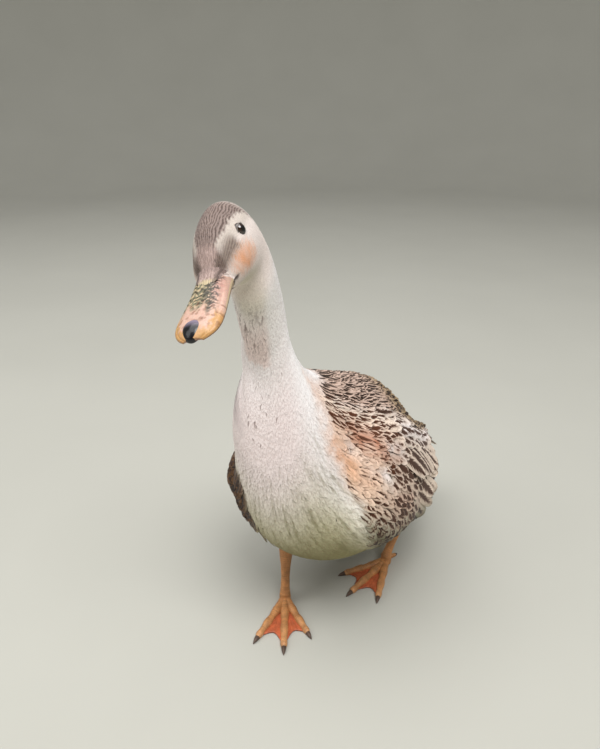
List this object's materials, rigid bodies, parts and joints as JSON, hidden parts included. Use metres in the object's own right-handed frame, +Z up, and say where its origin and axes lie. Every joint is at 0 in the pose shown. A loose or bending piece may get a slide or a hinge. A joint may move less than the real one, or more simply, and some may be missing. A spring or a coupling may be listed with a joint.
{
  "type": "silver appleyard duck",
  "caption": "Life-size standing silver appleyard duck with its head turned a little, folded wings and webbed feet flat on the floor.",
  "frame": {"origin": "on the floor, under the middle of the duck's bounding box", "axes": "+Z up, -Y the way the breast faces, +X the duck's left side"},
  "size_m": [0.1936, 0.4974, 0.463],
  "materials": {
    "white_feathers": "matte",
    "fawn_feathers": "matte",
    "bill_horn": "satin",
    "dark_horn": "glossy",
    "eye_dark": "glossy",
    "leg_skin": "matte"
  },
  "bodies": {
    "root": {"torso": "white_feathers", "neck": "white_feathers", "head": "white_feathers", "tail": "fawn_feathers", "wing_left": "fawn_feathers", "wing_right": "fawn_feathers", "thigh_left": "white_feathers", "thigh_right": "white_feathers", "shank_left": "leg_skin", "shank_right": "leg_skin", "foot_left": "leg_skin", "foot_right": "leg_skin", "bill_upper": "bill_horn", "bill_lower": "bill_horn", "bill_nail": "dark_horn", "eye_left": "eye_dark", "eye_right": "eye_dark"}
  },
  "joints": []
}
